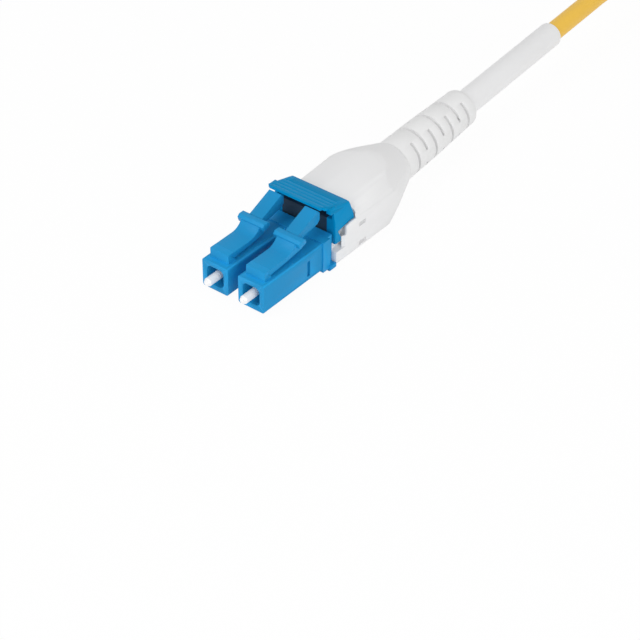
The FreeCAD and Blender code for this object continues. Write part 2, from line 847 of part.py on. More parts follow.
def make_body_base(label):
    """The lower shell: floor, side walls, front wall and the saddle for the crimp."""
    body = new_body(label)
    body_blank(body)
    cut_above(body, d.body_seam, 0, BOOT_START * 2)
    cut_wells(body)
    inside = d.body_half_width - d.body_wall
    neck_inside = d.neck_half_width - d.neck_wall
    depth = d.body_seam + d.base_drop - d.body_wall
    wall_back = BODY_START + d.front_wall
    neck_back = BODY_START + d.neck_back
    saddle_front = BOOT_START - d.crimp_front - d.crimp_post_flange_length
    saddle_back = saddle_front + d.crimp_post_flange_length * 2
    room = [
        (-neck_inside, wall_back),
        (neck_inside, wall_back),
        (neck_inside, neck_back),
        (inside, neck_back),
        (inside, saddle_front),
        (-inside, saddle_front),
        (-inside, neck_back),
        (-neck_inside, neck_back),
    ]
    pocket(body, outline(new_sketch(body, PLAN, d.body_seam), room), depth)
    rear = d.rear_room_half_width
    sketch = new_sketch(body, PLAN, d.body_seam)
    rectangle(sketch, -rear, rear, saddle_back, rear_room_back())
    pocket(body, sketch, depth)
    cut_boot_seat(body)
    post = d.crimp_post_flange / 2 + d.running_gap
    axis_at_saddle = d.boot_height - d.crimp_front * math.sin(math.radians(d.cable_tilt.number))
    notch = d.body_seam - axis_at_saddle + d.crimp_post / 2 + d.body_wall / 2
    half_notch = d.crimp_ring / 2 + d.body_wall / 4
    sketch = new_sketch(body, PLAN, d.body_seam)
    rectangle(sketch, -half_notch, half_notch, saddle_front, saddle_back)
    pocket(body, sketch, notch)
    flange_front = BOOT_START - d.crimp_front - d.body_wall / 4
    flange_back = flange_front + d.crimp_post_flange_length + d.body_wall / 2
    sketch = new_sketch(body, PLAN, d.body_seam)
    rectangle(sketch, -post, post, flange_front, flange_back)
    pocket(body, sketch, d.body_seam - axis_at_saddle + post)
    for side in (-1, 1):
        sketch = circle(new_sketch(body, FRONT, -BODY_START), side * d.plug_pitch / 2, 0, d.stop_back)
        pocket(body, sketch, d.front_wall)
    sketch = new_sketch(body, SIDE)
    rectangle(sketch, WINDOW_START, WINDOW_START + d.window_length, -d.window_low, d.window_top)
    pocket(body, sketch, d.body_half_width * 2, both=True)
    return body


def make_body_cover(label):
    """The upper shell: gabled roof, pivot trunnions for the trigger and two snap catches."""
    body = new_body(label)
    body_blank(body)
    beyond = d.body_half_width * 2
    seam = d.body_seam + d.seam_gap
    neck_back = BODY_START + d.neck_back
    sketch = new_sketch(body, PLAN, seam)
    rectangle(sketch, -beyond, beyond, 0, BOOT_START * 2)
    pocket(body, sketch, beyond)
    cut_wells(body)
    cut_above(body, d.neck_top, 0, neck_back)
    inside = d.body_half_width - d.body_wall
    neck_inside = d.neck_half_width - d.neck_wall
    wall_back = BODY_START + d.front_wall
    rear = d.rear_room_half_width
    rear_front = BOOT_START - d.crimp_front + d.crimp_post_flange_length
    room = [
        (-neck_inside, wall_back),
        (neck_inside, wall_back),
        (neck_inside, neck_back),
        (inside, neck_back),
        (inside, rear_front),
        (rear, rear_front),
        (rear, rear_room_back()),
        (-rear, rear_room_back()),
        (-rear, rear_front),
        (-inside, rear_front),
        (-inside, neck_back),
        (-neck_inside, neck_back),
    ]
    depth = d.neck_top - seam - d.body_wall / 2
    pocket(body, outline(new_sketch(body, PLAN, seam), room), depth, reverse=True)
    cut_boot_seat(body)
    for face in (-1, 1):
        sketch = new_sketch(body, SIDE, face * (d.neck_half_width - d.neck_wall / 2))
        circle(sketch, PIVOT_ALONG, d.pivot_height, d.trunnion)
        tip = d.trigger_half_width - d.pivot_skin - d.pivot_clearance
        pad(body, sketch, tip - d.neck_half_width + d.neck_wall / 2, reverse=face < 0)
        inner_face = d.body_half_width - d.body_wall - d.catch_gap
        sketch = new_sketch(body, SIDE, face * inner_face)
        start = WINDOW_START + d.catch_gap
        end = WINDOW_START + d.window_length - d.catch_gap
        rectangle(sketch, start, end, -d.window_low + d.catch_gap * 4, d.neck_top)
        pad(body, sketch, d.catch_thick, reverse=face > 0)
        sketch = new_sketch(body, SIDE, face * inner_face)
        rectangle(sketch, start, end, -d.catch_low, d.catch_top)
        pad(body, sketch, d.body_wall - d.catch_gap * 3, reverse=face < 0)
    return body


def make_boot(label):
    """The bend-relief boot: collar, tapered tube and staggered quarter slots."""
    flange_front = -d.boot_neck_length - d.boot_flange_length
    bore = d.sleeve / 2 + d.running_gap
    body = turned_piece(
        label,
        [
            (flange_front, bore),
            (d.boot_length, bore),
            (d.boot_length, d.boot_back / 2 - d.boot_end_round),
            (d.boot_length - d.boot_end_round, d.boot_back / 2),
            (d.boot_middle_along * 2, d.boot_back / 2),
            (d.boot_middle_along, d.boot_middle / 2),
            (0, d.boot_front / 2),
            (0, d.boot_neck / 2),
            (-d.boot_neck_length, d.boot_neck / 2),
            (-d.boot_neck_length, d.boot_flange / 2),
            (flange_front, d.boot_flange / 2),
        ],
    )
    side_row = (PLAN, "V_Axis", d.slot_first, d.side_slot_sweep, d.slot_count)
    top_start = d.slot_first + d.slot_pitch / 2
    top_row = (SIDE, "H_Axis", top_start, d.top_slot_sweep, d.slot_count - 1)
    for role, axis, start, sweep, count in (top_row, side_row):
        cuts = []
        for way in (-1, 1):
            ends = (start - d.slot_width / 2, start + d.slot_width / 2)
            reach = (way * bore, way * d.boot_front)
            sketch = new_sketch(body, role)
            rectangle(sketch, *(ends + reach if role == SIDE else reach + ends))
            cuts.append(turn(body, sketch, "PartDesign::Groove", sweep, axis))
        doc.recompute()
        rows = body.newObject("PartDesign::LinearPattern", label + "_slot_rows")
        rows.Originals = cuts
        rows.Direction = (cuts[0].Profile[0], [axis])
        rows.setExpression("Length", (d.slot_pitch * (count - 1)).text)
        rows.setExpression("Occurrences", count.text)
        body.Tip = rows
    return body


def make_sleeve(label):
    """The smooth tube shrunk over the cable behind the boot."""
    front = -d.boot_neck_length - d.boot_flange_length
    back = d.sleeve_length
    inner, outer = d.cable / 2, d.sleeve / 2
    return turned_piece(label, [(front, inner), (back, inner), (back, outer), (front, outer)])


def make_cable_core(label):
    """The cable's own length inside the boot and sleeve."""
    radius = d.cable / 2
    front, back = -d.jacket_start, d.sleeve_length
    return turned_piece(label, [(front, 0), (back, 0), (back, radius), (front, radius)])


def make_crimp_post(label):
    front = -d.crimp_front
    step = front + d.crimp_post_flange_length
    back = -d.jacket_start
    inner = d.crimp_post_bore / 2
    return turned_piece(
        label,
        [
            (front, inner),
            (back, inner),
            (back, d.crimp_post / 2),
            (step, d.crimp_post / 2),
            (step, d.crimp_post_flange / 2),
            (front, d.crimp_post_flange / 2),
        ],
    )


def make_crimp_ring(label):
    back = -d.jacket_start - d.running_gap
    front = back - d.crimp_ring_length
    outer = d.crimp_ring / 2
    inner = outer - d.crimp_wall
    return turned_piece(label, [(front, inner), (back, inner), (back, outer), (front, outer)])


def make_yarn(label):
    """The aramid strength yarn, folded back over the post under the crimp ring."""
    back = -d.jacket_start
    front = back - d.crimp_ring_length
    inner, outer = d.crimp_post / 2, d.crimp_ring / 2 - d.crimp_wall
    return turned_piece(label, [(front, inner), (back, inner), (back, outer), (front, outer)])


# ---------------------------------------------------------------- one connector


def make_connector(prefix, placement):
    """All pieces of one connector, each with its place in the whole lead's frame."""
    ready = []

    def put(piece, local):
        piece.Placement = placement * local * piece.Placement
        ready.append(piece)

    for name, side in (("left", -1), ("right", 1)):
        plug = Placement(Vector(side * d.plug_pitch.number / 2, 0, 0), Rotation())
        put(make_housing(f"{prefix}housing_{name}", side), plug)
        put(make_latch(f"{prefix}latch_{name}"), plug)
        put(make_ferrule(f"{prefix}ferrule_{name}"), plug)
        put(make_ferrule_flange(f"{prefix}ferrule_flange_{name}"), plug)
        put(make_spring(f"{prefix}ferrule_spring_{name}"), plug)
        put(make_spring_stop(f"{prefix}spring_stop_{name}"), plug)
        put(make_buffer_tube(f"{prefix}buffer_tube_{name}", side), Placement())
    put(make_trigger(f"{prefix}trigger"), Placement())
    put(make_body_base(f"{prefix}body_base"), Placement())
    put(make_body_cover(f"{prefix}body_cover"), Placement())

    tilt = Rotation(Vector(1, 0, 0), d.cable_tilt.number)
    on_axis = Placement(Vector(0, BOOT_START.number, d.boot_height.number), tilt)
    put(make_boot(f"{prefix}boot"), on_axis)
    put(make_sleeve(f"{prefix}strain_sleeve"), on_axis)
    put(make_cable_core(f"{prefix}cable_core"), on_axis)
    put(make_crimp_post(f"{prefix}crimp_post"), on_axis)
    put(make_crimp_ring(f"{prefix}crimp_ring"), on_axis)
    put(make_yarn(f"{prefix}aramid_yarn"), on_axis)
    return ready


def cable_end(placement, beyond=0.0):
    """A point on the cable's axis, at a distance beyond the end of a connector's sleeve."""
    tilt = math.radians(d.cable_tilt.number)
    reach = d.sleeve_length.number + beyond
    along = BOOT_START.number + reach * math.cos(tilt)
    height = d.boot_height.number + reach * math.sin(tilt)
    return placement.multVec(Vector(0, along, height))


def make_coil(label):
    """The outer shape of the coiled cable, with a straight lead at each end."""
    cable = d.cable.number
    outer = d.coil_outer_turn.number + cable / 2
    inner = outer - d.coil_columns.number * cable
    height = d.coil_layers.number * cable
    centre = Vector(-d.coil_across.number, d.coil_along.number, 0)
    ring = Part.makeCylinder(outer, height, centre).cut(Part.makeCylinder(inner, height, centre))
    top = centre + Vector(0, 0, height)
    last_turn = Part.makeCylinder(outer, cable, top).cut(Part.makeCylinder(outer - cable, cable, top))
    ring = ring.fuse(last_turn).removeSplitter()
    lead = d.coil_lead.number
    beside = outer - cable / 2 - d.coil_across.number
    entry = Vector(beside, centre.y - lead, cable / 2)
    leaving = Vector(beside, centre.y, height + cable / 2)
    for start in (entry, leaving):
        ring = ring.fuse(Part.makeCylinder(cable / 2, lead, start, Vector(0, 1, 0)))
    return plain_feature(label, ring)


lift = d.base_drop.number
near_place = Placement(Vector(0, -ORIGIN_ALONG, lift), Rotation())
sleeve_reach = cable_end(Placement()).y
far_place = Placement(Vector(0, FAR_SLEEVE_END + sleeve_reach, lift), Rotation(Vector(0, 0, 1), 180))

pieces = make_connector("", near_place) + make_connector("far_", far_place)
cable_diameter = d.cable.number
start_route = [cable_end(near_place), cable_end(near_place, CORD_START_STRAIGHT)]
start_route += [Vector(*point) for point in CORD_START]
end_route = [Vector(*point) for point in CORD_END]
end_route += [cable_end(far_place, CORD_END_STRAIGHT), cable_end(far_place)]
pieces.append(plain_feature("cable_run", tube_solid("cable_run", start_route, cable_diameter)))
pieces.append(make_coil("cable_coil"))
pieces.append(plain_feature("far_cable_run", tube_solid("far_cable_run", end_route, cable_diameter)))

# ---------------------------------------------------------------- checks and files

doc.recompute()
for item in doc.Objects:
    if {"Invalid", "Error"} & set(item.State):
        raise RuntimeError(f"{item.Label} failed: {item.State}")
for piece in pieces:
    if piece.Shape.isNull() or not piece.Shape.isValid():
        raise RuntimeError(f"{piece.Label} has no valid shape")
    if len(piece.Shape.Solids) != 1:
        raise RuntimeError(f"{piece.Label} has {len(piece.Shape.Solids)} solids")

os.makedirs("parts", exist_ok=True)
for piece in pieces:
    piece.Shape.exportStep(f"parts/{piece.Label}.step")
print(len(pieces), "pieces written")
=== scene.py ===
"""A duplex fibre patch lead, with the same plug at both ends.

Each plug has blue twin housings under one press plate, white shells, a slotted boot and a shrunk sleeve on a yellow
cord. Shapes are written in millimetres counted from the plug faces, as across, along and height.
"""

import json
import math

import bpy
from mathutils import Euler, Matrix, Vector


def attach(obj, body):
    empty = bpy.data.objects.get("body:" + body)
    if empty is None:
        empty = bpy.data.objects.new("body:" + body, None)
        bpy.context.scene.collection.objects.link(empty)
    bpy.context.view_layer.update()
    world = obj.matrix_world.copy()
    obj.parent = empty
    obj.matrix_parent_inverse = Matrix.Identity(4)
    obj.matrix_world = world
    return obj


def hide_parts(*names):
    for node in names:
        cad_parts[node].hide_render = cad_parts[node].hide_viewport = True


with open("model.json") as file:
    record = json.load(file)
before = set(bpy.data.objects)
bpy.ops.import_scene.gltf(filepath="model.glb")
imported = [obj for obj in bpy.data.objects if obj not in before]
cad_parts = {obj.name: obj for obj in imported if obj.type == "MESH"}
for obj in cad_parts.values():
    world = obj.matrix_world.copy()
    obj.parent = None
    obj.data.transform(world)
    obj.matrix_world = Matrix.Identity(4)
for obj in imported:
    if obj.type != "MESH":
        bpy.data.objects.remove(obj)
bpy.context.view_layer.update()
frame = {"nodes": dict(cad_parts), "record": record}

MM = 0.001
ORIGIN_ALONG = 21.5
PLUG_HEIGHT = 2.84
PLUG_PITCH = 6.25
ENDS_APART = 206.2055
BODY_START = 14.9
BOOT_START = 35.0
BOOT_HEIGHT = 1.25
CORD_TILT = 3.9
SEAM_HEIGHT = 2.9
SMOOTH_ANGLE = math.radians(32)

FAR_TURN = Matrix.Translation((0, ENDS_APART * MM, 0)) @ Matrix.Rotation(math.pi, 4, "Z")


def at(across, along, height):
    """A point counted in millimetres from the middle of the plug faces, in the frame's metres."""
    return Vector((across, along - ORIGIN_ALONG, height + PLUG_HEIGHT)) * MM


BOOT_PLACE = Matrix.Translation(at(0, BOOT_START, BOOT_HEIGHT))
BOOT_AXIS = BOOT_PLACE @ Matrix.Rotation(math.radians(CORD_TILT), 4, "X")

# ---------------------------------------------------------------- camera

CAMERA_PLACE = (0.15465, -0.19863, 0.17922)
CAMERA_ELEVATION = 0.6598
CAMERA_AZIMUTH = 0.6682
CAMERA_ROLL = 0.004

camera = bpy.data.cameras.new("camera")
camera.sensor_width = 36
camera.lens = 123.77
camera.clip_start = 0.01
camera.shift_x = -0.0004
camera.shift_y = 0.0008
camera_object = bpy.data.objects.new("camera", camera)
bpy.context.collection.objects.link(camera_object)
facing = Euler((math.pi / 2 - CAMERA_ELEVATION, 0, CAMERA_AZIMUTH)).to_matrix()
aim = facing @ Matrix.Rotation(CAMERA_ROLL, 3, "Z")
camera_object.matrix_world = Matrix.Translation(CAMERA_PLACE) @ aim.to_4x4()
bpy.context.scene.camera = camera_object
bpy.context.scene.view_settings.view_transform = "Standard"


# ---------------------------------------------------------------- mesh tools

def deselect():
    """Leaves nothing selected."""
    for thing in list(bpy.context.selected_objects):
        thing.select_set(False)


def pick(piece):
    """Makes a piece the only one that operators act on."""
    deselect()
    piece.select_set(True)
    bpy.context.view_layer.objects.active = piece


def edit(piece, *steps):
    """Runs edit-mode steps on everything in the piece."""
    pick(piece)
    bpy.ops.object.mode_set(mode="EDIT")
    bpy.ops.mesh.select_mode(type="VERT")
    bpy.ops.mesh.select_all(action="SELECT")
    for step in steps:
        step()
    bpy.ops.object.mode_set(mode="OBJECT")


def choose(piece, kind, test):
    """Selects the vertices or edges that the test accepts, and opens edit mode."""
    pick(piece)
    bpy.ops.object.mode_set(mode="EDIT")
    bpy.ops.mesh.select_mode(type=kind)
    bpy.ops.mesh.select_all(action="DESELECT")
    bpy.ops.object.mode_set(mode="OBJECT")
    mesh = piece.data
    if kind == "VERT":
        for corner in mesh.vertices:
            corner.select = test(corner.co)
    else:
        for edge in mesh.edges:
            edge.select = test(*(mesh.vertices[i].co for i in edge.vertices))
    bpy.ops.object.mode_set(mode="EDIT")


def leave_edit():
    bpy.ops.object.mode_set(mode="OBJECT")


def apply_modifier(piece, modifier):
    pick(piece)
    bpy.ops.object.modifier_apply(modifier=modifier.name)


def place_mesh(piece, matrix):
    piece.data.transform(matrix)
    piece.data.update()
    return piece


def named_last(name):
    piece = bpy.context.active_object
    piece.name = name
    piece.data.name = name
    return piece


def block(name, low, high):
    """A box between two corners counted in plug millimetres."""
    deselect()
    low, high = at(*low), at(*high)
    bpy.ops.mesh.primitive_cube_add(size=1)
    piece = named_last(name)
    piece.scale = high - low
    piece.location = (low + high) / 2
    bpy.ops.object.transform_apply(location=True, rotation=True, scale=True)
    return piece


def prism(name, corners, reach):
    """A flat outline of corners, drawn out along reach; both are in metres."""
    deselect()
    bpy.ops.mesh.primitive_circle_add(vertices=len(corners), fill_type="NGON", radius=MM)
    piece = named_last(name)
    for vertex, corner in zip(piece.data.vertices, corners):
        vertex.co = corner
    edit(
        piece,
        lambda: bpy.ops.mesh.extrude_region_move(TRANSFORM_OT_translate={"value": reach}),
        lambda: bpy.ops.mesh.select_all(action="SELECT"),
        lambda: bpy.ops.mesh.normals_make_consistent(inside=False),
    )
    return piece


def side_prism(name, outline, left, right):
    """An outline of (along, height) places, drawn out from left to right."""
    corners = [at(left, along, height) for along, height in outline]
    return prism(name, corners, Vector(((right - left) * MM, 0, 0)))


def plan_prism(name, outline, low, high):
    """An outline of (across, along) places, drawn out from low to high."""
    corners = [at(across, along, low) for across, along in outline]
    return prism(name, corners, Vector((0, 0, (high - low) * MM)))


def front_prism(name, outline, start, end):
    """An outline of (across, height) places, drawn out from start to end along the plug."""
    corners = [at(across, start, height) for across, height in outline]
    return prism(name, corners, Vector((0, (end - start) * MM, 0)))


def turned(name, profile, matrix, sides=96):
    """A closed round piece about the matrix's Y axis, from (along, radius) rings in millimetres."""
    deselect()
    first_along, first_radius = profile[0]
    bpy.ops.mesh.primitive_circle_add(vertices=sides, radius=first_radius * MM)
    piece = named_last(name)
    place_mesh(piece, Matrix.Translation((0, first_along * MM, 0)) @ Matrix.Rotation(-math.pi / 2, 4, "X"))
    pick(piece)
    bpy.ops.object.mode_set(mode="EDIT")
    bpy.ops.mesh.select_all(action="SELECT")
    along, radius = first_along, first_radius
    for next_along, next_radius in profile[1:]:
        step = (0, (next_along - along) * MM, 0)
        bpy.ops.mesh.extrude_edges_move(TRANSFORM_OT_translate={"value": step})
        grow = next_radius / radius
        centre = (0, next_along * MM, 0)
        bpy.ops.transform.resize(value=(grow, 1, grow), center_override=centre)
        along, radius = next_along, next_radius
    if profile[0] == profile[-1]:
        bpy.ops.mesh.select_all(action="SELECT")
        bpy.ops.mesh.remove_doubles(threshold=MM / 1000)
    else:
        bpy.ops.mesh.edge_face_add()
        bpy.ops.mesh.select_all(action="DESELECT")
        bpy.ops.mesh.select_mode(type="EDGE")
        bpy.ops.mesh.select_non_manifold()
        bpy.ops.mesh.edge_face_add()
    bpy.ops.mesh.select_all(action="SELECT")
    bpy.ops.mesh.normals_make_consistent(inside=False)
    leave_edit()
    return place_mesh(piece, matrix)


def combine(piece, other, how):
    """Cuts, joins or keeps what two closed pieces share, and drops the second."""
    modifier = piece.modifiers.new("combine", "BOOLEAN")
    modifier.operation = how
    modifier.solver = "EXACT"
    modifier.object = other
    apply_modifier(piece, modifier)
    bpy.data.objects.remove(other)
    return piece


def cut(piece, *others):
    for other in others:
        combine(piece, other, "DIFFERENCE")


def join(piece, *others):
    for other in others:
        combine(piece, other, "UNION")


def soften(piece, width, segments=2, limit=32):
    """Merges what is flat and rounds the sharp edges by a small bevel."""
    edit(
        piece,
        lambda: bpy.ops.mesh.remove_doubles(threshold=MM / 2000),
        lambda: bpy.ops.mesh.dissolve_limited(angle_limit=math.radians(0.4)),
    )
    bevel = piece.modifiers.new("soft_edges", "BEVEL")
    bevel.width = width * MM
    bevel.segments = segments
    bevel.limit_method = "ANGLE"
    bevel.angle_limit = math.radians(limit)
    bevel.use_clamp_overlap = True
    apply_modifier(piece, bevel)
    pick(piece)
    bpy.ops.object.shade_smooth_by_angle(angle=SMOOTH_ANGLE)


def solid_copy(node, name):
    """A merged copy of a solid's mesh, ready for finer shaping."""
    piece = bpy.data.objects.new(name, frame["nodes"][node].data.copy())
    bpy.context.collection.objects.link(piece)
    edit(
        piece,
        lambda: bpy.ops.mesh.remove_doubles(threshold=MM / 2000),
        lambda: bpy.ops.mesh.dissolve_limited(angle_limit=math.radians(0.2)),
    )
    return piece


# ---------------------------------------------------------------- finishes

def shader_group(name, inputs, outputs):
    """An empty node group with named sockets; returns its tree, its input node and its output node."""
    tree = bpy.data.node_groups.new(name, "ShaderNodeTree")
    for label, kind, value in inputs:
        socket = tree.interface.new_socket(label, in_out="INPUT", socket_type=kind)
        socket.default_value = value
    for label, kind in outputs:
        tree.interface.new_socket(label, in_out="OUTPUT", socket_type=kind)
    return tree, tree.nodes.new("NodeGroupInput"), tree.nodes.new("NodeGroupOutput")


def moulded_grain_group():
    """Fine moulding grain: a value for roughness and a height for the bump."""
    tree, given, result = shader_group(
        "moulded_grain",
        [
            ("Scale", "NodeSocketFloat", 4000.0),
            ("Low", "NodeSocketFloat", 0.3),
            ("High", "NodeSocketFloat", 0.4),
        ],
        [("Roughness", "NodeSocketFloat"), ("Height", "NodeSocketFloat")],
    )
    place = tree.nodes.new("ShaderNodeTexCoord")
    noise = tree.nodes.new("ShaderNodeTexNoise")
    noise.inputs["Detail"].default_value = 3.0
    span = tree.nodes.new("ShaderNodeMapRange")
    tree.links.new(place.outputs["Object"], noise.inputs["Vector"])
    tree.links.new(given.outputs["Scale"], noise.inputs["Scale"])
    tree.links.new(noise.outputs["Fac"], span.inputs["Value"])
    tree.links.new(given.outputs["Low"], span.inputs["To Min"])
    tree.links.new(given.outputs["High"], span.inputs["To Max"])
    tree.links.new(span.outputs["Result"], result.inputs["Roughness"])
    tree.links.new(noise.outputs["Fac"], result.inputs["Height"])
    return tree


def flow_tone_group():
    """Slow changes of shade in the moulded colour, as the melt leaves them, and paler edges painted on as a
    highlight.
    """
    tree, given, result = shader_group(
        "flow_tone",
        [
            ("Color", "NodeSocketColor", (0.5, 0.5, 0.5, 1)),
            ("Deep", "NodeSocketColor", (0.4, 0.4, 0.4, 1)),
            ("Edge", "NodeSocketColor", (0.7, 0.7, 0.7, 1)),
            ("Scale", "NodeSocketFloat", 120.0),
            ("Edge_Highlight", "NodeSocketFloat", 0.5),
        ],
        [("Color", "NodeSocketColor")],
    )
    place = tree.nodes.new("ShaderNodeTexCoord")
    noise = tree.nodes.new("ShaderNodeTexNoise")
    noise.inputs["Detail"].default_value = 2.0
    tree.links.new(place.outputs["Object"], noise.inputs["Vector"])
    tree.links.new(given.outputs["Scale"], noise.inputs["Scale"])
    tone = tree.nodes.new("ShaderNodeMix")
    tone.data_type = "RGBA"
    tree.links.new(noise.outputs["Fac"], tone.inputs[0])
    tree.links.new(given.outputs["Deep"], tone.inputs[6])
    tree.links.new(given.outputs["Color"], tone.inputs[7])
    shape = tree.nodes.new("ShaderNodeNewGeometry")
    ridge = tree.nodes.new("ShaderNodeMapRange")
    ridge.inputs["From Min"].default_value = 0.52
    ridge.inputs["From Max"].default_value = 0.62
    tree.links.new(shape.outputs["Pointiness"], ridge.inputs["Value"])
    # painted highlight: sharp edges, found by pointiness, are mixed towards the paler edge colour
    amount = tree.nodes.new("ShaderNodeMath")
    amount.operation = "MULTIPLY"
    tree.links.new(ridge.outputs["Result"], amount.inputs[0])
    tree.links.new(given.outputs["Edge_Highlight"], amount.inputs[1])
    highlighted_edge = tree.nodes.new("ShaderNodeMix")
    highlighted_edge.data_type = "RGBA"
    tree.links.new(amount.outputs[0], highlighted_edge.inputs[0])
    tree.links.new(tone.outputs[2], highlighted_edge.inputs[6])
    tree.links.new(given.outputs["Edge"], highlighted_edge.inputs[7])
    tree.links.new(highlighted_edge.outputs[2], result.inputs["Color"])
    return tree


GRAIN = moulded_grain_group()
TONE = flow_tone_group()


def shade(color, factor):
    """A colour made darker or paler by a factor, with a full alpha."""
    return tuple(min(1.0, channel * factor) for channel in color) + (1,)


def finish(
    name, color, rough, grain=4000.0, bump=0.02, deep=0.94, edge=1.06, edge_highlight=0.3, tone=120.0, metal=0.0, **plain
):
    """A finish built from the two groups. bump is in millimetres; plain holds the shader's own values. The edge
    factor and the amount after it lighten sharp edges as a painted highlight.
    """
    material = bpy.data.materials.new(name)
    material.use_nodes = True
    nodes, links = material.node_tree.nodes, material.node_tree.links
    shader = nodes["Principled BSDF"]
    shader.inputs["Metallic"].default_value = metal
    for label, value in plain.items():
        shader.inputs[label.replace("_", " ")].default_value = value
    toned = nodes.new("ShaderNodeGroup")
    toned.node_tree = TONE
    toned.inputs["Color"].default_value = shade(color, 1)
    toned.inputs["Deep"].default_value = shade(color, deep)
    toned.inputs["Edge"].default_value = shade(color, edge)
    toned.inputs["Scale"].default_value = tone
    toned.inputs["Edge_Highlight"].default_value = edge_highlight
    links.new(toned.outputs["Color"], shader.inputs["Base Color"])
    grained = nodes.new("ShaderNodeGroup")
    grained.node_tree = GRAIN
    grained.inputs["Scale"].default_value = grain
    grained.inputs["Low"].default_value = rough[0]
    grained.inputs["High"].default_value = rough[1]
    links.new(grained.outputs["Roughness"], shader.inputs["Roughness"])
    raised = nodes.new("ShaderNodeBump")
    raised.inputs["Strength"].default_value = 1.0
    raised.inputs["Distance"].default_value = bump * MM
    links.new(grained.outputs["Height"], raised.inputs["Height"])
    links.new(raised.outputs["Normal"], shader.inputs["Normal"])
    return material


FINISHES = {
    "connector_blue": finish(
        "plug_blue", (0.012, 0.287, 0.6), (0.36, 0.48), bump=0.006,
        deep=0.93, edge=1.3, edge_highlight=0.6, Specular_IOR_Level=0.14,
    ),
    "shell_white": finish("shell_white", (0.87, 0.87, 0.875), (0.42, 0.52), bump=0.006, deep=0.97, edge=1.03),
    "boot_white": finish(
        "boot_white", (0.865, 0.865, 0.865), (0.5, 0.6), grain=2500, bump=0.01, deep=0.97, edge=1.03
    ),
    "sleeve_white": finish(
        "sleeve_white", (0.895, 0.895, 0.9), (0.4, 0.5), grain=1500, bump=0.008, deep=0.97, edge=1.02
    ),
    "cable_yellow": finish(
        "jacket_yellow", (0.92, 0.56, 0.065), (0.4, 0.5), grain=1500, bump=0.012, deep=0.95, edge=1.04
    ),
    "zirconia": finish(
        "ground_ceramic", (0.95, 0.94, 0.94), (0.12, 0.2), grain=6000, bump=0.001, deep=0.98, edge=1.02
    ),
    "plated_metal": finish("nickel_plate", (0.7, 0.68, 0.62), (0.25, 0.35), bump=0.002, metal=1.0),
    "spring_steel": finish("drawn_wire", (0.6, 0.6, 0.6), (0.3, 0.4), bump=0.002, metal=1.0),
    "buffer_white": finish("buffer_white", (0.9, 0.9, 0.88), (0.4, 0.5), bump=0.003),
    "crimp_metal": finish("crimped_aluminium", (0.75, 0.75, 0.76), (0.3, 0.42), bump=0.004, metal=1.0),
    "aramid": finish("aramid_yarn", (0.8, 0.68, 0.3), (0.7, 0.8), grain=900, bump=0.05),
}

# painted shade: a near-black blue for the bridge faces under the press plate, standing in for the deep shade there
PAINTED_SHADE_BLUE = finish("plug_blue_painted_shade", (0.012, 0.04, 0.07), (0.6, 0.7), bump=0.006, deep=0.9, edge=1.1)
# painted shade: a darker, less glossy copy of the plug blue for the press trigger, so that its top-facing plate
# renders darker
TRIGGER_BLUE_PAINTED_SHADE = finish(
    "trigger_blue_painted_shade", (0.0, 0.245, 0.51), (0.42, 0.54), bump=0.006,
    deep=0.93, edge=1.3, edge_highlight=0.6, Specular_IOR_Level=0.06,
)


for entry in frame["record"]["subparts"]:
    node = frame["nodes"][entry["node"]]
    for slot in node.material_slots:
        slot.material = FINISHES[entry["material_slot"]]
    if not node.material_slots:
        raise RuntimeError("a solid has no material slot")

# ---------------------------------------------------------------- the cord

CORD_DIAMETER = 3.0
CORD_FRONT = [
    (0, 54.2055, 6.865), (0, 60.0, 7.26), (0, 65.0, 7.6), (0, 70.0, 7.942),
    (0, 83.0, 5.2), (4.3, 98.0, 1.5), (4.3, 104.0, 1.5),
]
CORD_BACK = [
    (4.3, 128.0, 10.5), (4.3, 132.0, 10.5), (0, 143.9985, 7.41), (0, 152.0, 6.865),
    (0, 160.0, 6.32), (0, 175.0, 5.297), (0, 192.7, 4.09),
]
COIL_ALONG = 116.0
COIL_ACROSS = -12.2
TURN_RADII = {"A": 16.5, "B": 13.5, "C": 10.5}
TURN_ROWS = {1: 1.5, 2: 4.5, 3: 7.5, 4: 10.5}
TURN_CELLS = ["A1", "B1", "C1", "C2", "C3", "B3", "B2", "A2", "A3", "A4"]
TURN_STEPS = 24
SHIFT_ANGLE = 36


def coil_points():
    """Nine close turns; each shifts to the next cell a little before where the last one did."""
    points = []
    half_step = math.radians(180 / TURN_STEPS)
    turns = len(TURN_CELLS) - 1
    for step in range(turns * TURN_STEPS + 1):
        turn, part = divmod(step, TURN_STEPS)
        angle = 360 * part / TURN_STEPS
        turn = min(turn, turns - 1)
        if step == turns * TURN_STEPS:
            angle = 360
        shift_start = SHIFT_ANGLE * (turns - turn)
        share = min(1.0, max(0.0, (angle - shift_start) / SHIFT_ANGLE))
        share = share * share * (3 - 2 * share)
        here, there = TURN_CELLS[turn], TURN_CELLS[turn + 1]
        radius = TURN_RADII[here[0]] + share * (TURN_RADII[there[0]] - TURN_RADII[here[0]])
        height = TURN_ROWS[int(here[1])] + share * (TURN_ROWS[int(there[1])] - TURN_ROWS[int(here[1])])
        radius /= math.cos(half_step)
        turned_by = math.radians(angle)
        across = COIL_ACROSS + radius * math.cos(turned_by)
        along = COIL_ALONG + radius * math.sin(turned_by)
        points.append((across, along, height))
    return points


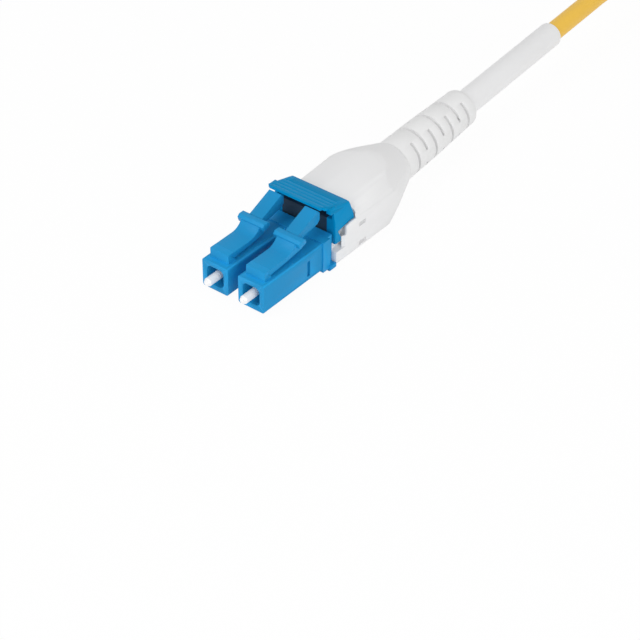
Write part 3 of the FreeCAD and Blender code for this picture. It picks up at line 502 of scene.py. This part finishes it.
route = [Vector(point) * MM for point in CORD_FRONT + coil_points() + CORD_BACK]
line = bpy.data.curves.new("patch_cord", "CURVE")
line.dimensions = "3D"
line.bevel_depth = CORD_DIAMETER / 2 * MM
line.bevel_resolution = 6
line.resolution_u = 4
strand = line.splines.new("NURBS")
strand.points.add(len(route) - 1)
for point, place in zip(strand.points, route):
    point.co = (*place, 1)
strand.order_u = 3
strand.use_endpoint_u = True
cord = bpy.data.objects.new("patch_cord", line)
bpy.context.collection.objects.link(cord)
line.materials.append(FINISHES["cable_yellow"])
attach(cord, "connector")
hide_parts("cable_run", "cable_coil", "far_cable_run", "far_cable_core")

# ---------------------------------------------------------------- the plug's pieces

made = []


def keep(piece, body, slot, *nodes):
    """Gives a shaped near-end piece its finish, and notes it so that both ends get one."""
    piece.data.materials.clear()
    piece.data.materials.append(FINISHES[slot])
    made.append((piece, body, slot, nodes))


def make_housing(side, name):
    """A plug housing: square nose, stepped rear collar with a foot, and softened edges."""
    piece = solid_copy(f"housing_{name}", f"plug_housing_{name}")
    middle = side * PLUG_PITCH / 2
    inner, outer = middle + side * 1.95, middle + side * 3.2
    notch = [(inner, -1.94), (outer, -1.94), (outer, 3.2), (inner, 3.2)]
    cut(piece, front_prism("rear_notch", notch, 13.9, 15.2))
    soften(piece, 0.12)
    keep(piece, "connector", "connector_blue", f"housing_{name}")


def make_latch(name):
    """A latch arm with softened edges."""
    piece = solid_copy(f"latch_{name}", f"latch_arm_{name}")
    soften(piece, 0.14)
    keep(piece, f"latch_{name}", "connector_blue", f"latch_{name}")


PLATE_SLOPE = 1.5 / 5.6
PLATE_INNER_SIDE = 4.9
# the sides, box and top that bound the painted shade on the bridge between the arms
PAINTED_SHADE_SIDE = 3.9
PAINTED_SHADE_BOX = ((-3.95, 15.0, 2.5), (3.95, 17.3, 6.3))
PAINTED_SHADE_TOP = 5.9
FACES_AWAY = 0.7


def on_plate(along, run, height):
    """A place on the plate's slope, run millimetres behind the slope's start at that height."""
    return along, height - PLATE_SLOPE * run


def paint_recess_shade(piece):
    """Gives the trigger a darker copy of the plug blue as painted shade, parts the bridge between the arms from the
    rest, and paints near-black shade on the bridge's front and top faces.
    """
    for side in (-PAINTED_SHADE_SIDE, PAINTED_SHADE_SIDE):
        edit(piece, lambda: bpy.ops.mesh.bisect(plane_co=(side * MM, 0, 0), plane_no=(1, 0, 0)))
    keep(piece, "trigger", "connector_blue", "trigger")
    # painted shade: the trigger takes the darker copy of the plug blue
    piece.data.materials[0] = TRIGGER_BLUE_PAINTED_SHADE
    piece.data.materials.append(PAINTED_SHADE_BLUE)
    low, high = (at(*corner) for corner in PAINTED_SHADE_BOX)
    top = at(0, 0, PAINTED_SHADE_TOP).z
    # painted shade: faces inside the box that face the front or up get the near-black blue
    for face in piece.data.polygons:
        inside = all(low[axis] < face.center[axis] < high[axis] for axis in range(3))
        if inside and (face.normal.y < -FACES_AWAY or face.normal.z > FACES_AWAY) and face.center.z < top:
            face.material_index = 1


def make_trigger():
    """The press plate: cheeks hollowed under the plate's skirt, and softened edges."""
    piece = solid_copy("trigger", "press_trigger")
    join(piece, block("bridge_skirt", (-PLATE_INNER_SIDE, 15.2, 2.05), (PLATE_INNER_SIDE, 15.5, 2.9)))
    filling = [
        on_plate(13.5, 0.45, 7.0), on_plate(18.1, 5.05, 7.0),
        on_plate(18.1, 5.05, 7.33), on_plate(13.5, 0.45, 7.33),
    ]
    join(piece, side_prism("groove_filling", filling, -PLATE_INNER_SIDE, PLATE_INNER_SIDE))
    for side in (-1, 1):
        left, right = sorted((side * 4.5, side * 5.3))
        join(piece, block("wing_skirt", (left, 14.3, 5.9), (right, 15.4, 6.7)))
    skirt = [(15.3, 3.1), (15.3, 2.4), (15.7, 2.5), (18.0, 2.88), (19.0, 3.1)]
    hook = [(15.75, 2.5), (16.6, 2.64), (16.6, 1.4), (16.3, 1.4), (16.1, 1.9)]
    for side in (-1, 1):
        scoop = [(side * 5.4, 3.9), (side * 6.4, 3.9), (side * 6.4, 5.8), (side * 5.05, 5.8)]
        cut(piece, front_prism("scoop", scoop, 15.2, 20.5))
        join(piece, side_prism("cheek_skirt", skirt, side * 4.8, side * 5.4))
        cut(piece, side_prism("hook_notch", hook, side * 4.0, side * 6.0))
    soften(piece, 0.13)
    paint_recess_shade(piece)


BOOT_PROFILE = [
    (-3.2, 1.99), (17.3, 1.99), (17.3, 2.45), (17.2, 2.68), (17.05, 2.84), (16.75, 2.925),
    (16.0, 2.925), (12.0, 3.075), (8.0, 3.225), (4.0, 3.3), (0.2, 3.35), (0.0, 3.3),
    (0.0, 2.6), (-2.0, 2.6), (-2.0, 3.05), (-3.2, 3.05), (-3.2, 1.99),
]
SLOT_FIRST = 2.55
SLOT_PITCH = 4.15
SLOT_WIDTH = 0.5
SLOT_COUNT = 7
SLOT_SWEEP_SIDES = 120
SLOT_SWEEP_TOP = 142
SLOT_RADII = (2.05, 4.0)


def slot_cutter(along, facing, sweep):
    """A part ring that opens one bend slot through the boot's wall, facing up, down, left or right."""
    deselect()
    inner, outer = (radius * MM for radius in SLOT_RADII)
    half = SLOT_WIDTH / 2 * MM
    front, back = along * MM - half, along * MM + half
    start = math.radians(facing - sweep / 2)
    bpy.ops.mesh.primitive_plane_add(size=1)
    piece = named_last("bend_slot")
    corners = [(inner, front), (outer, front), (inner, back), (outer, back)]
    for vertex, (radius, place) in zip(piece.data.vertices, corners):
        vertex.co = (radius * math.cos(start), place, radius * math.sin(start))
    edit(
        piece,
        lambda: bpy.ops.mesh.spin(
            steps=24, angle=math.radians(sweep), center=(0, 0, 0), axis=(0, 1, 0), use_normal_flip=False
        ),
        lambda: bpy.ops.mesh.select_all(action="SELECT"),
        lambda: bpy.ops.mesh.remove_doubles(threshold=MM / 5000),
        lambda: bpy.ops.mesh.fill_holes(sides=0),
        lambda: bpy.ops.mesh.select_all(action="SELECT"),
        lambda: bpy.ops.mesh.normals_make_consistent(inside=False),
    )
    return place_mesh(piece, BOOT_AXIS)


def make_boot():
    """The bend relief: a tapered tube whose slots open in turn at both sides and at top and bottom."""
    piece = turned("bend_boot", BOOT_PROFILE, BOOT_AXIS, 128)
    for number in range(SLOT_COUNT):
        along = SLOT_FIRST + number * SLOT_PITCH / 2
        if number % 2 == 0:
            facing, sweep = 0, SLOT_SWEEP_SIDES
        else:
            facing, sweep = 90, SLOT_SWEEP_TOP
        cut(piece, slot_cutter(along, facing, sweep), slot_cutter(along, facing + 180, sweep))
    soften(piece, 0.1, limit=40)
    keep(piece, "connector", "boot_white", "boot")


def make_sleeve():
    """The smooth tube shrunk over the cord behind the boot."""
    profile = [
        (-3.2, 1.5), (40.8, 1.5), (40.8, 1.8), (40.7, 1.9), (40.5, 1.95), (-3.2, 1.95), (-3.2, 1.5),
    ]
    piece = turned("shrunk_sleeve", profile, BOOT_AXIS, 96)
    pick(piece)
    bpy.ops.object.shade_smooth_by_angle(angle=SMOOTH_ANGLE)
    keep(piece, "connector", "sleeve_white", "strain_sleeve")


SHOULDER = [
    (-42.0, 9.0), (-12.0, 9.0), (-10.5, 7.5), (-9.2, 6.85), (-8.0, 6.45), (-6.8, 6.07),
    (-5.6, 5.67), (-4.4, 5.24), (-3.3, 4.82), (-2.3, 4.42), (-1.3, 4.02), (-0.6, 3.76), (-0.04, 3.52),
]
BODY_HALF = 5.8
BODY_BACK = 36.0
ROOF_CREST = 28.7
WALL_TOP = 3.4
RIDGE_FRONT, RIDGE_BACK = 4.6, 6.4
EAVES_FRONT, EAVES_BACK = 3.9, 4.7
BASE_ROUNDING, ROOF_ROUNDING = 0.9, 1.8


def body_block():
    """The body's outer form: flat base, gabled roof that rises towards the back, round shoulder."""
    piece = block("body_block", (-BODY_HALF, BODY_START, -PLUG_HEIGHT), (BODY_HALF, BODY_BACK, WALL_TOP))
    edit(
        piece,
        lambda: bpy.ops.mesh.bisect(plane_co=at(0, 0, 0), plane_no=(1, 0, 0)),
        lambda: bpy.ops.mesh.select_all(action="SELECT"),
        lambda: bpy.ops.mesh.bisect(plane_co=at(0, ROOF_CREST, 0), plane_no=(0, 1, 0)),
    )
    top = at(0, 0, WALL_TOP).z - MM / 100
    for across, along, height in (
        (0, BODY_START, RIDGE_FRONT), (0, ROOF_CREST, RIDGE_BACK), (0, BODY_BACK, RIDGE_BACK),
        (1, ROOF_CREST, EAVES_BACK), (1, BODY_BACK, EAVES_BACK), (1, BODY_START, EAVES_FRONT),
    ):
        place = at(across * BODY_HALF, along, 0)
        choose(
            piece,
            "VERT",
            lambda co: co.z > top and abs(co.y - place.y) < MM / 10 and abs(abs(co.x) - place.x) < MM / 10,
        )
        bpy.ops.transform.translate(value=(0, 0, (height - WALL_TOP) * MM))
        leave_edit()
    side = BODY_HALF * MM
    base = at(0, 0, -PLUG_HEIGHT).z
    for low, radius in ((True, BASE_ROUNDING), (False, ROOF_ROUNDING)):
        choose(
            piece,
            "EDGE",
            lambda a, b: abs(abs(a.x) - side) < MM / 20
            and abs(a.x - b.x) < MM / 20
            and abs(a.y - b.y) > MM
            and (abs(a.z - base) < MM / 20 and abs(b.z - base) < MM / 20 if low else min(a.z, b.z) > base + MM),
        )
        bpy.ops.mesh.bevel(offset=radius * MM, segments=8, profile=0.5)
        leave_edit()
    return combine(piece, turned("shoulder", SHOULDER, BOOT_AXIS, 160), "INTERSECT")


ABOVE_BODY = 12.0
SWING_ROOM = [
    (14.0, -0.45), (17.55, -0.45), (17.55, 2.25), (19.65, 2.25),
    (19.65, 3.9), (19.45, 4.3), (19.45, ABOVE_BODY), (14.0, ABOVE_BODY),
]
CHEEK_ROOM = [
    (14.0, -0.45), (16.45, -0.45), (16.45, 2.55), (18.2, 2.86),
    (19.42, 2.86), (19.42, ABOVE_BODY), (14.0, ABOVE_BODY),
]
BRIDGE_ROOM = [
    (14.0, 1.1), (16.3, 1.1), (16.3, 1.35), (17.2, 1.35), (17.2, ABOVE_BODY), (14.0, ABOVE_BODY),
]


def cut_front_rooms(piece):
    """Room at the front for the trigger's cheeks, guide tongues and bridge, under a skin with tapered edges."""
    for face in (-1, 1):
        cut(piece, side_prism("swing_room", SWING_ROOM, face * 4.65, face * 5.45))
        cut(piece, side_prism("cheek_room", CHEEK_ROOM, face * 5.4, face * 8.0))
        taper = [(face * 6.0, 16.0), (face * 6.0, 17.25), (face * 5.42, 16.42), (face * 5.42, 16.0)]
        cut(piece, plan_prism("tapered_edge", taper, -0.45, 2.7))
    cut(piece, side_prism("bridge_room", BRIDGE_ROOM, -8.0, 8.0))


ROOM_FLOOR = -1.84


def cut_inside(piece):
    """The rooms that hold the fibres, the crimp and the boot's collar."""
    cut(piece, block("front_room", (-3.8, 17.8, ROOM_FLOOR), (3.8, 19.8, SEAM_HEIGHT)))
    cut(piece, block("main_room", (-4.6, 19.7, ROOM_FLOOR), (4.6, 23.6, SEAM_HEIGHT)))
    for side in (-1, 1):
        bore = Matrix.Translation(at(side * PLUG_PITCH / 2, 0, 0))
        cut(piece, turned("stop_bore", [(14.0, 1.0), (18.2, 1.0)], bore, 48))
    seat = [(-14.0, 2.2), (-3.3, 2.2), (-3.3, 3.1), (-1.95, 3.1), (-1.95, 2.65), (2.0, 2.65)]
    cut(piece, turned("boot_seat", seat, BOOT_AXIS, 96))


SEAM_GAP = 0.02
CATCH_ALONG = (20.0, 21.6)
CATCH_HEIGHTS = ((-2.0, -1.35), (1.15, 1.8))


def make_shells():
    """The two shells: one outer form, hollowed and parted at the seam."""
    whole = body_block()
    cut_front_rooms(whole)
    for side in (-1, 1):
        for low, high in CATCH_HEIGHTS:
            start, end = CATCH_ALONG
            gap = [(start, low), (end, low), (end, high), (start, high)]
            cut(whole, side_prism("catch_gap", gap, side * 5.2, side * 7.0))
    cut_inside(whole)
    for name, node, low, high in (
        ("lower_shell", "body_base", -4.0, SEAM_HEIGHT - SEAM_GAP / 2),
        ("upper_shell", "body_cover", SEAM_HEIGHT + SEAM_GAP / 2, 9.0),
    ):
        piece = bpy.data.objects.new(name, whole.data.copy())
        bpy.context.collection.objects.link(piece)
        combine(piece, block("shell_half", (-9.0, 10.0, low), (9.0, 40.0, high)), "INTERSECT")
        soften(piece, 0.1, limit=35)
        keep(piece, "connector", "shell_white", node)
    bpy.data.objects.remove(whole)


for side, name in ((-1, "left"), (1, "right")):
    make_housing(side, name)
    make_latch(name)
make_trigger()
make_boot()
make_sleeve()
make_shells()

for piece, body, slot, nodes in made:
    far = bpy.data.objects.new("far_" + piece.name, piece.data.copy())
    bpy.context.collection.objects.link(far)
    place_mesh(far, FAR_TURN)
    for item, prefix in ((piece, ""), (far, "far_")):
        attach(item, body if body == "connector" else prefix + body)
        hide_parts(*(prefix + node for node in nodes))

# ---------------------------------------------------------------- table, light and backdrop

def camera_sees(nodes, links):
    """One for rays from the camera, mirrors and glass, and nothing for other light."""
    path = nodes.new("ShaderNodeLightPath")
    total = path.outputs["Is Camera Ray"]
    for label in ("Is Glossy Ray", "Is Transmission Ray"):
        most = nodes.new("ShaderNodeMath")
        most.operation = "MAXIMUM"
        links.new(total, most.inputs[0])
        links.new(path.outputs[label], most.inputs[1])
        total = most.outputs[0]
    return total


TABLE_SIZE = 3
TABLE_DROP = 0.00005
TABLE_GLOW_SHARE = 0.96
ROOM_LIGHT = 0.52

deselect()
bpy.ops.mesh.primitive_plane_add(size=TABLE_SIZE, location=(0, 0, -TABLE_DROP))
table = named_last("table")
table_finish = bpy.data.materials.new("pale_table")
table_finish.use_nodes = True
nodes, links = table_finish.node_tree.nodes, table_finish.node_tree.links
surface = nodes["Principled BSDF"]
surface.inputs["Base Color"].default_value = (0.98, 0.98, 0.98, 1)
surface.inputs["Roughness"].default_value = 0.9
glow = nodes.new("ShaderNodeEmission")
glow.inputs["Strength"].default_value = 1.0
seen = camera_sees(nodes, links)
share = nodes.new("ShaderNodeMath")
share.operation = "MULTIPLY"
share.inputs[1].default_value = TABLE_GLOW_SHARE
links.new(seen, share.inputs[0])
mix = nodes.new("ShaderNodeMixShader")
links.new(share.outputs[0], mix.inputs[0])
links.new(surface.outputs[0], mix.inputs[1])
links.new(glow.outputs[0], mix.inputs[2])
links.new(mix.outputs[0], nodes["Material Output"].inputs["Surface"])
table.data.materials.append(table_finish)

world = bpy.data.worlds.new("studio")
bpy.context.scene.world = world
world.use_nodes = True
nodes, links = world.node_tree.nodes, world.node_tree.links
sky = nodes["Background"]
sky.inputs["Color"].default_value = (1, 1, 1, 1)
level = nodes.new("ShaderNodeMapRange")
level.inputs["To Min"].default_value = ROOM_LIGHT
level.inputs["To Max"].default_value = 1.0
links.new(camera_sees(nodes, links), level.inputs["Value"])
links.new(level.outputs["Result"], sky.inputs["Strength"])


def soft_box(name, place, size, power):
    """A square lamp that faces the plug."""
    lamp = bpy.data.lights.new(name, "AREA")
    lamp.energy = power
    lamp.size = size
    holder = bpy.data.objects.new(name, lamp)
    bpy.context.collection.objects.link(holder)
    holder.location = place
    holder.rotation_euler = Vector(place).to_track_quat("Z", "Y").to_euler()


soft_box("key_lamp", (-0.12, -0.3, 0.35), 0.25, 0.68)
soft_box("side_lamp", (0.34, -0.1, 0.16), 0.3, 0.46)
soft_box("front_lamp", (0.06, -0.4, 0.14), 0.25, 0.16)
